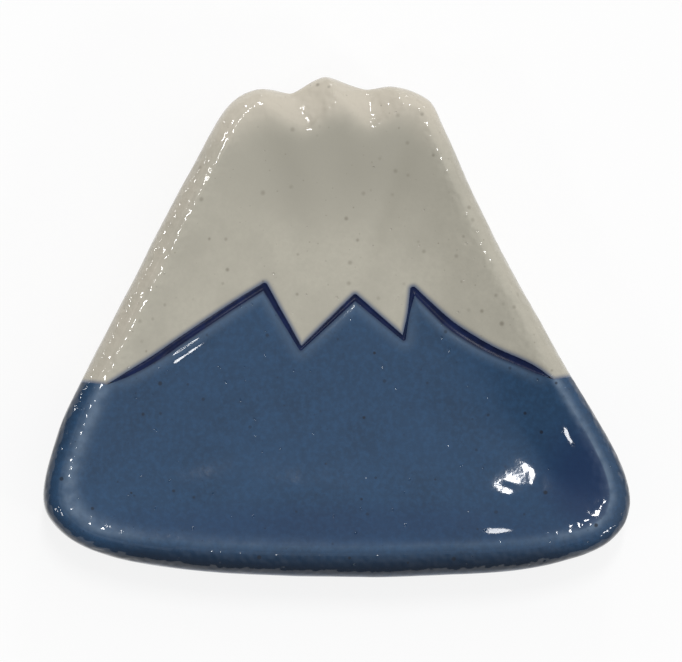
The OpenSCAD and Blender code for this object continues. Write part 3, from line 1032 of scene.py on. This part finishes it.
class Finish:
    """Builds one glaze or clay material from procedural nodes."""

    def __init__(self, name):
        self.material = bpy.data.materials.new(name)
        self.material.use_nodes = True
        self.tree = self.material.node_tree
        self.shader = self.tree.nodes["Principled BSDF"]
        self.place = self.node("TexCoord").outputs["Object"]

    def node(self, kind):
        return self.tree.nodes.new("ShaderNode" + kind)

    def put(self, socket, value):
        """Links a socket, or sets the value that it holds."""
        if isinstance(value, bpy.types.NodeSocket):
            self.tree.links.new(value, socket)
        elif hasattr(value, "__len__") and len(socket.default_value) == 4:
            socket.default_value = (*value, 1)
        else:
            socket.default_value = value

    def math(self, operation, *values):
        node = self.node("Math")
        node.operation = operation
        for socket, value in zip(node.inputs, values):
            self.put(socket, value)
        return node.outputs[0]

    def times(self, first, second):
        return self.math("MULTIPLY", first, second)

    def field(self, name):
        node = self.node("Attribute")
        node.attribute_name = name
        return node.outputs["Fac"]

    def ramp(self, value, low, high, first=0.0, last=1.0):
        """A smooth step of a value from low to high."""
        node = self.node("MapRange")
        node.interpolation_type = "SMOOTHSTEP"
        self.put(node.inputs["Value"], value)
        self.put(node.inputs["From Min"], low)
        self.put(node.inputs["From Max"], high)
        self.put(node.inputs["To Min"], first)
        self.put(node.inputs["To Max"], last)
        return node.outputs["Result"]

    def mottle(self, size, detail, rough, seed):
        """Cloudy noise with features of a real size."""
        node = self.node("TexNoise")
        node.noise_dimensions = "4D"
        self.put(node.inputs["Vector"], self.place)
        self.put(node.inputs["W"], seed)
        self.put(node.inputs["Scale"], 1 / size)
        self.put(node.inputs["Detail"], detail)
        self.put(node.inputs["Roughness"], rough)
        return node.outputs["Fac"]

    def spots(self, gap, radius, share, soft, seed):
        """Scattered round spots: one at full strength, clear glaze at none."""
        shifted = self.node("VectorMath")
        self.put(shifted.inputs[0], self.place)
        shifted.inputs[1].default_value = [seed * gap * part for part in SPOT_SHIFT]
        node = self.node("TexVoronoi")
        self.put(node.inputs["Vector"], shifted.outputs[0])
        self.put(node.inputs["Scale"], 1 / gap)
        chances = self.node("SeparateColor")
        self.put(chances.inputs[0], node.outputs["Color"])
        least, more = SPOT_SIZES
        size = self.math("MULTIPLY_ADD", chances.outputs[0], more, least)
        reach = self.times(size, radius / gap)
        edge = self.times(reach, 1 - soft)
        spot = self.ramp(node.outputs["Distance"], edge, reach, 1, 0)
        chosen = self.math("LESS_THAN", chances.outputs[1], share)
        least, more = SPOT_STRENGTHS
        strength = self.math("MULTIPLY_ADD", chances.outputs[2], more, least)
        return self.times(self.times(spot, chosen), strength)

    def mix(self, part, first, second):
        node = self.node("Mix")
        node.data_type = "RGBA"
        self.put(node.inputs[6], first)
        self.put(node.inputs[7], second)
        self.put(node.inputs[0], part)
        return node.outputs[2]

    def tint(self, tone, colour, part, strength):
        """Lays a colour over a tone, as strongly as both factors say."""
        return self.mix(self.times(part, strength), tone, colour)

    def spotted(self, tone, colour, pattern):
        """Scatters spots of a colour over a tone."""
        *spots, strength = pattern
        return self.tint(tone, colour, self.spots(*spots), strength)

    def bump(self, height, depth, below=None):
        node = self.node("Bump")
        self.put(node.inputs["Height"], height)
        self.put(node.inputs["Distance"], depth)
        if below is not None:
            self.put(node.inputs["Normal"], below)
        return node.outputs["Normal"]

    def rough(self, pattern, below=None, share=1):
        """Lays a cloudy pattern of bumps over the bumps below."""
        *cloud, depth = pattern
        return self.bump(self.times(self.mottle(*cloud), share), depth, below)

    def set(self, **values):
        for name, value in values.items():
            self.put(self.shader.inputs[name.replace("_", " ")], value)


def glaze_ripple(finish, pits):
    """The fine unevenness of a fired glaze, with a few pinholes."""
    peel = finish.rough(ORANGE_PEEL)
    bumps = finish.rough(CREST_BUMPS, peel, finish.field("beaded"))
    fine = finish.rough(FINE_PEEL, bumps)
    return finish.bump(finish.spots(*pits), -PIT_DEPTH, fine)


def shade(colour, factor):
    """A lighter or darker shade of a colour."""
    return tuple(c * factor for c in colour)


def snow_finish(colours):
    """Off-white glaze with iron specks, a blue haze along the line, thinner edges, painted light
    and painted shade.
    """
    finish = Finish("snow_glaze_finish")
    rim_side = finish.field("rim_side")
    cloud = finish.ramp(finish.mottle(*SNOW_CLOUD), 0.3, 0.7)
    tone = finish.mix(cloud, shade(colours.snow, 0.92), shade(colours.snow, 1.04))
    grain = finish.ramp(finish.mottle(*SNOW_GRAIN), 0.3, 0.7)
    tone = finish.tint(tone, shade(colours.snow, 0.86), grain, 0.35)
    # Outside the crest the white is lighter: thinner glaze, with painted light strongest on the
    # left
    outside = finish.ramp(rim_side, 0.3, -0.8)
    patches = finish.ramp(finish.mottle(*SNOW_PATCHES), 0.25, 0.75, 0.45, 1)
    lit_left = finish.ramp(finish.field("left_share"), 0, 1, 0.3, 1)
    tone = finish.tint(tone, colours.snow_thin, outside, finish.times(patches, lit_left))
    # Painted shade on the slope below the crater
    tone = finish.mix(finish.field("pooled"), tone, shade(colours.snow, 0.83))
    # Painted light on the crater's crest and outer wall, fading into the hollow with a ragged edge
    ragged = finish.times(finish.mottle(*CRATER_WAVES), 1.6)
    crest = finish.ramp(finish.math("ADD", rim_side, ragged), 3.5, 0.5)
    tone = finish.tint(tone, shade(colours.snow_thin, 1.22), crest, finish.field("crater"))
    end = finish.times(finish.field("line_share"), HALF_LINE)
    past = finish.math("SUBTRACT", finish.field("line_side"), end)
    haze = finish.math("POWER", finish.ramp(past, -0.05, 0.55, 1, 0), 1.3)
    tone = finish.tint(tone, colours.haze, haze, 0.9)
    tone = finish.spotted(tone, colours.speck, SNOW_SPECKS)
    tone = finish.spotted(tone, colours.speck, SNOW_DUST)
    finish.set(Base_Color=tone, Roughness=GLOSS, IOR=GLAZE_IOR)
    finish.set(Normal=glaze_ripple(finish, SNOW_PITS))
    return finish.material


def blue_finish(colours):
    """Slate blue glaze with dark specks, thin glaze and painted light over the rim and shoulder,
    painted shade.
    """
    finish = Finish("blue_glaze_finish")
    cloud = finish.ramp(finish.mottle(*BLUE_CLOUD), 0.35, 0.7)
    tone = finish.mix(cloud, colours.blue, shade(colours.blue, 0.82))
    grain = finish.ramp(finish.mottle(*BLUE_GRAIN), 0.35, 0.75)
    tone = finish.tint(tone, shade(colours.blue, 1.45), grain, 0.6)
    side = finish.times(finish.field("line_side"), -1)
    share = finish.field("line_share")
    # A lighter band along the line's shoulder: thinner glaze, with a painted sheen
    shoulder = finish.times(finish.ramp(side, 1.6, 0.35), share)
    tone = finish.tint(tone, colours.blue_thin, shoulder, 0.3)
    # Lighter crest: thinner glaze, with painted light strongest on the left
    patchy = finish.ramp(finish.mottle(*CREST_PATCHES), 0.25, 0.7, 0.4, 1)
    crest = finish.times(finish.field("crest_light"), patchy)
    tone = finish.tint(tone, colours.blue_thin, crest, 0.75)
    # Painted shade on the outer wall, reaching nearer the crest along the front
    wall = finish.field("outer_side")
    outside = finish.ramp(wall, -0.9, -2.6)
    tone = finish.tint(tone, colours.blue_deep, outside, finish.ramp(wall, -3.1, -4.4, 1, 0.3))
    # Painted shade in patches of the hollow
    tone = finish.tint(tone, colours.blue_pooled, finish.field("pooled"), 0.8)
    # Darker painted shade where the wall turns under
    under = finish.ramp(wall, -2.2, -3.3)
    tone = finish.tint(tone, colours.blue_under, under, finish.ramp(wall, -3.3, -4.2, 0.6, 0))
    past = finish.math("SUBTRACT", side, finish.times(share, HALF_LINE))
    haze = finish.times(finish.ramp(past, 0.35, -0.05), share)
    tone = finish.tint(tone, colours.line, haze, 0.75)
    tone = finish.spotted(tone, colours.blue_speck, BLUE_SPECKS)
    tone = finish.spotted(tone, colours.blue_dust, BLUE_DUST)
    finish.set(Base_Color=tone, Roughness=GLOSS, IOR=GLAZE_IOR)
    finish.set(Normal=glaze_ripple(finish, BLUE_PITS))
    return finish.material


def line_finish(colours):
    """Thick dark blue glaze in the incised line."""
    finish = Finish("line_glaze_finish")
    cloud = finish.ramp(finish.mottle(*LINE_CLOUD), 0.3, 0.7)
    tone = finish.mix(cloud, colours.line, shade(colours.line, 1.8))
    thin = finish.ramp(finish.field("line_share"), 0.75, 0.1)
    tone = finish.tint(tone, colours.line_thin, thin, 0.6)
    finish.set(Base_Color=tone, Roughness=0.3, IOR=GLAZE_IOR, Specular_IOR_Level=0.12)
    finish.set(Normal=finish.rough(LINE_RIPPLE))
    return finish.material


def clay_finish(colours):
    """Bare fired clay: warm, matte and sandy."""
    finish = Finish("fired_clay_finish")
    cloud = finish.ramp(finish.mottle(*CLAY_CLOUD), 0.3, 0.7)
    tone = finish.mix(cloud, colours.clay, shade(colours.clay, 0.8))
    sand = finish.ramp(finish.mottle(*CLAY_SAND), 0.35, 0.65)
    tone = finish.tint(tone, colours.sand, sand, 0.3)
    tone = finish.spotted(tone, colours.speck, CLAY_SPECKS)
    finish.set(Base_Color=tone, Roughness=0.85, IOR=GLAZE_IOR, Specular_IOR_Level=0.1)
    finish.set(Normal=finish.rough(CLAY_WAVES, finish.rough(CLAY_GRIT)))
    return finish.material


def floor_finish(stage):
    """A plain pale matte floor, which shows nearly white to the camera and in the glaze."""
    finish = Finish("floor_finish")
    finish.set(Base_Color=stage.floor, Roughness=0.9, IOR=1.4)
    rays = finish.node("LightPath").outputs
    seen = finish.math("MAXIMUM", rays["Is Camera Ray"], rays["Is Glossy Ray"])
    seen = finish.math("MAXIMUM", seen, rays["Is Transmission Ray"])
    blend = finish.node("MixShader")
    finish.put(blend.inputs[0], finish.times(seen, stage.floor_glow))
    finish.put(blend.inputs[1], finish.shader.outputs[0])
    finish.put(blend.inputs[2], finish.node("Emission").outputs[0])
    finish.put(finish.tree.nodes["Material Output"].inputs["Surface"], blend.outputs[0])
    return finish.material


def place_light(name, way, along, distance, width, length, level):
    """An area light that faces the rest."""
    way = Vector(way).normalized()
    side = Vector(along).cross(way).normalized()
    data = bpy.data.lights.new(name, "AREA")
    data.shape = "RECTANGLE"
    data.size = width
    data.size_y = length
    data.energy = level * math.pi ** 2 * distance ** 2
    lamp = bpy.data.objects.new(name, data)
    turn = Matrix((side, way.cross(side), way)).transposed()
    lamp.matrix_world = Matrix.LocRotScale(way * distance, turn.to_quaternion(), None)
    bpy.context.scene.collection.objects.link(lamp)


def place_camera(stage):
    """The camera at the photograph's angle, high over the rest."""
    back = Vector((-math.tan(stage.lean_left), -math.tan(stage.lean_front), 1)).normalized()
    up = Vector((math.sin(stage.roll), math.cos(stage.roll), 0))
    right = up.cross(back).normalized()
    up = back.cross(right)
    aim = Vector((0, 0, AIM_Z)) + right * AIM_RIGHT + up * AIM_UP
    data = bpy.data.cameras.new("camera")
    data.lens = stage.lens
    data.clip_start = stage.distance / 100
    data.clip_end = CAMERA_REACH
    camera = bpy.data.objects.new("camera", data)
    turn = Matrix((right, up, back)).transposed()
    place = aim + back * stage.distance
    camera.matrix_world = Matrix.LocRotScale(place, turn.to_quaternion(), None)
    bpy.context.scene.collection.objects.link(camera)
    bpy.context.scene.camera = camera


def make_floor(stage):
    """A wide floor under the rest."""
    reach = FLOOR_REACH
    corners = [(-reach, -reach, 0), (reach, -reach, 0), (reach, reach, 0), (-reach, reach, 0)]
    mesh = bpy.data.meshes.new("floor")
    mesh.from_pydata(corners, [], [(0, 1, 2, 3)])
    mesh.materials.append(floor_finish(stage))
    floor = bpy.data.objects.new("floor", mesh)
    bpy.context.scene.collection.objects.link(floor)


def light_room(stage):
    """Soft light from all round, brighter on one side; the camera sees plain white."""
    world = bpy.data.worlds.new("air")
    world.use_nodes = True
    bpy.context.scene.world = world
    nodes, links = world.node_tree.nodes, world.node_tree.links
    facing = nodes.new("ShaderNodeVectorMath")
    facing.operation = "DOT_PRODUCT"
    facing.inputs[1].default_value = Vector(SKY_WAY).normalized()
    links.new(nodes.new("ShaderNodeTexCoord").outputs["Generated"], facing.inputs[0])
    level = nodes.new("ShaderNodeMapRange")
    level.interpolation_type = "SMOOTHSTEP"
    level.inputs["From Min"].default_value, level.inputs["From Max"].default_value = SKY_SPREAD
    level.inputs["To Min"].default_value = stage.air
    level.inputs["To Max"].default_value = stage.air + stage.sky
    links.new(facing.outputs["Value"], level.inputs["Value"])
    path = nodes.new("ShaderNodeLightPath")
    shown = nodes.new("ShaderNodeMath")
    shown.operation = "MAXIMUM"
    links.new(level.outputs["Result"], shown.inputs[0])
    links.new(path.outputs["Is Camera Ray"], shown.inputs[1])
    background = nodes["Background"]
    background.inputs["Color"].default_value = (1, 1, 1, 1)
    links.new(shown.outputs[0], background.inputs["Strength"])


class REST_OT_clay_body(bpy.types.Operator):
    """Make the clay body with its bare foot"""

    bl_idname = "rest.clay_body"
    bl_label = "Clay body"

    def execute(self, context):
        mesh = clay_mesh(sizes_of(context), "bare_clay")
        finish = clay_finish(context.scene.rest_colours)
        show_piece("bare_clay", mesh, "clay_body", finish)
        return {"FINISHED"}


class REST_OT_snow_glaze(bpy.types.Operator):
    """Make the white coat above the snow line"""

    bl_idname = "rest.snow_glaze"
    bl_label = "Snow glaze"

    def execute(self, context):
        mesh = coat_mesh(sizes_of(context), "snow_coat", 1, SNOW_SHADE_PATCHES)
        finish = snow_finish(context.scene.rest_colours)
        show_piece("snow_coat", mesh, "snow_glaze", finish)
        return {"FINISHED"}


class REST_OT_blue_glaze(bpy.types.Operator):
    """Make the blue coat below the snow line"""

    bl_idname = "rest.blue_glaze"
    bl_label = "Blue glaze"

    def execute(self, context):
        mesh = coat_mesh(sizes_of(context), "blue_coat", -1, BLUE_SHADE_PATCHES)
        finish = blue_finish(context.scene.rest_colours)
        show_piece("blue_coat", mesh, "blue_glaze", finish)
        return {"FINISHED"}


class REST_OT_snow_line(bpy.types.Operator):
    """Make the dark glaze pooled in the incised line"""

    bl_idname = "rest.snow_line"
    bl_label = "Snow line"

    def execute(self, context):
        mesh = pool_mesh(sizes_of(context), "line_pool")
        finish = line_finish(context.scene.rest_colours)
        show_piece("line_pool", mesh, "snow_line", finish)
        return {"FINISHED"}


class REST_OT_stage(bpy.types.Operator):
    """Make the floor, the lights and the camera"""

    bl_idname = "rest.stage"
    bl_label = "Stage"

    def execute(self, context):
        stage = context.scene.rest_stage
        context.scene.view_settings.view_transform = "Standard"
        make_floor(stage)
        light_room(stage)
        for light in LIGHTS:
            place_light(*light)
        place_camera(stage)
        return {"FINISHED"}


class REST_PT_panel(bpy.types.Panel):
    """Lists the pieces of the chopstick rest"""

    bl_idname = "REST_PT_panel"
    bl_label = "Chopstick rest"
    bl_space_type = "VIEW_3D"
    bl_region_type = "UI"
    bl_category = "Chopstick rest"

    def draw(self, context):
        for operator in OPERATORS:
            self.layout.operator(operator.bl_idname)
        scene = context.scene
        for group in (scene.rest_sizes, scene.rest_colours, scene.rest_stage):
            box = self.layout.box()
            for key in type(group).__annotations__:
                box.prop(group, key)


OPERATORS = (
    REST_OT_clay_body, REST_OT_snow_glaze, REST_OT_blue_glaze, REST_OT_snow_line, REST_OT_stage)
CLASSES = (RestSizes, RestColours, StageLooks, *OPERATORS, REST_PT_panel)


def register():
    for made in CLASSES:
        bpy.utils.register_class(made)
    bpy.types.Scene.rest_sizes = PointerProperty(type=RestSizes)
    bpy.types.Scene.rest_colours = PointerProperty(type=RestColours)
    bpy.types.Scene.rest_stage = PointerProperty(type=StageLooks)


def unregister():
    del bpy.types.Scene.rest_stage
    del bpy.types.Scene.rest_colours
    del bpy.types.Scene.rest_sizes
    for made in reversed(CLASSES):
        bpy.utils.unregister_class(made)


def main():
    register()
    bpy.ops.rest.clay_body()
    bpy.ops.rest.snow_glaze()
    bpy.ops.rest.blue_glaze()
    bpy.ops.rest.snow_line()
    bpy.ops.rest.stage()


if __name__ == "__main__":
    main()
